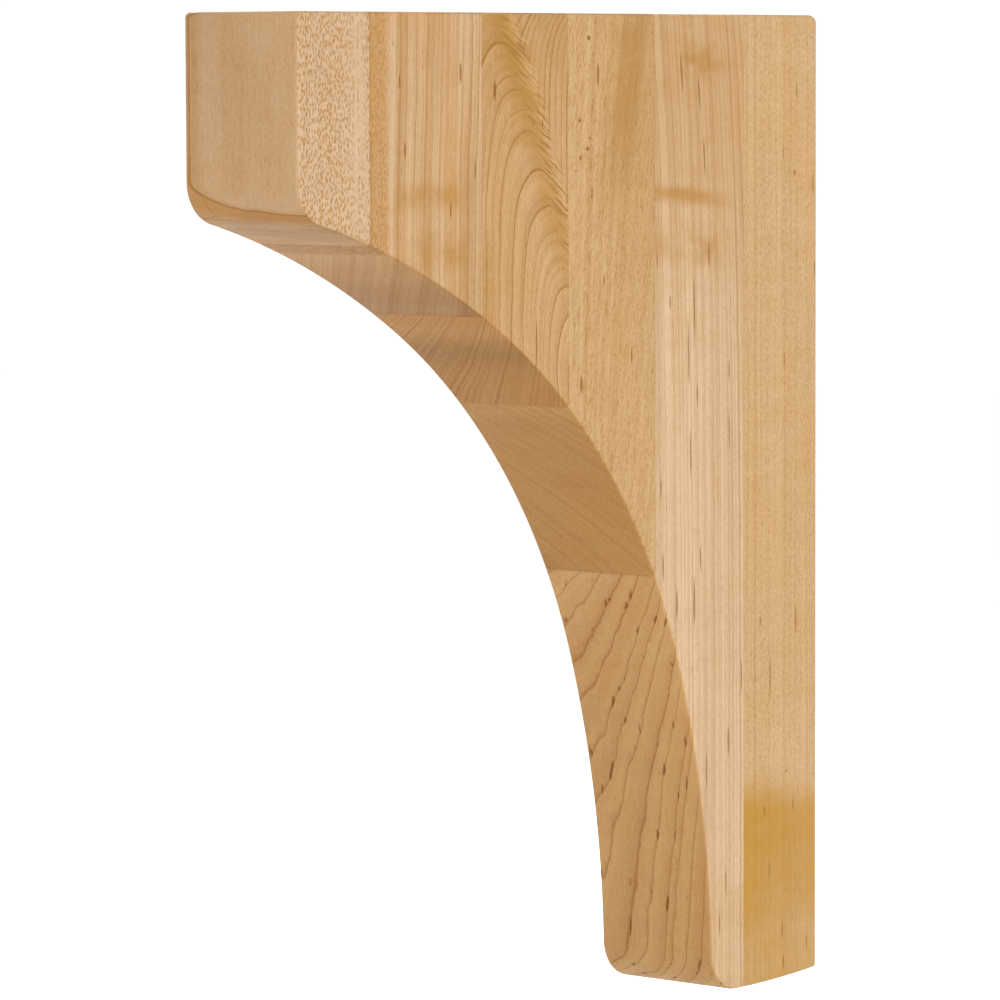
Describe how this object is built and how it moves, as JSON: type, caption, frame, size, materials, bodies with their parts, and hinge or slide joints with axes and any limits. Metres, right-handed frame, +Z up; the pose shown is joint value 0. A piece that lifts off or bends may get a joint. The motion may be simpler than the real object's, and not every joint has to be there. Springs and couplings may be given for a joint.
{
  "type": "corbel bracket",
  "caption": "Wooden shelf corbel with a deep cove below, glued up from upright staves; its back bears on a wall and its top carries a shelf or beam.",
  "frame": {"origin": "middle of the flat face that bears on the wall, halfway up and halfway across", "axes": "+Z up; +Y out of the corbel's back into the wall, so the corbel projects towards -Y; X runs along the wall, across the corbel's width"},
  "size_m": [0.0446, 0.2413, 0.3048],
  "materials": {
    "nose_maple": "sanded and clear satin, hard maple",
    "second_maple": "sanded and clear satin, hard maple",
    "third_maple": "sanded and clear satin, hard maple",
    "fourth_maple": "sanded and clear satin, hard maple",
    "fifth_maple": "sanded and clear satin, hard maple",
    "wall_maple": "sanded and clear satin, hard maple"
  },
  "bodies": {
    "root": {"nose_stave": "nose_maple", "second_stave": "second_maple", "third_stave": "third_maple", "fourth_stave": "fourth_maple", "fifth_stave": "fifth_maple", "wall_stave": "wall_maple"}
  },
  "joints": []
}
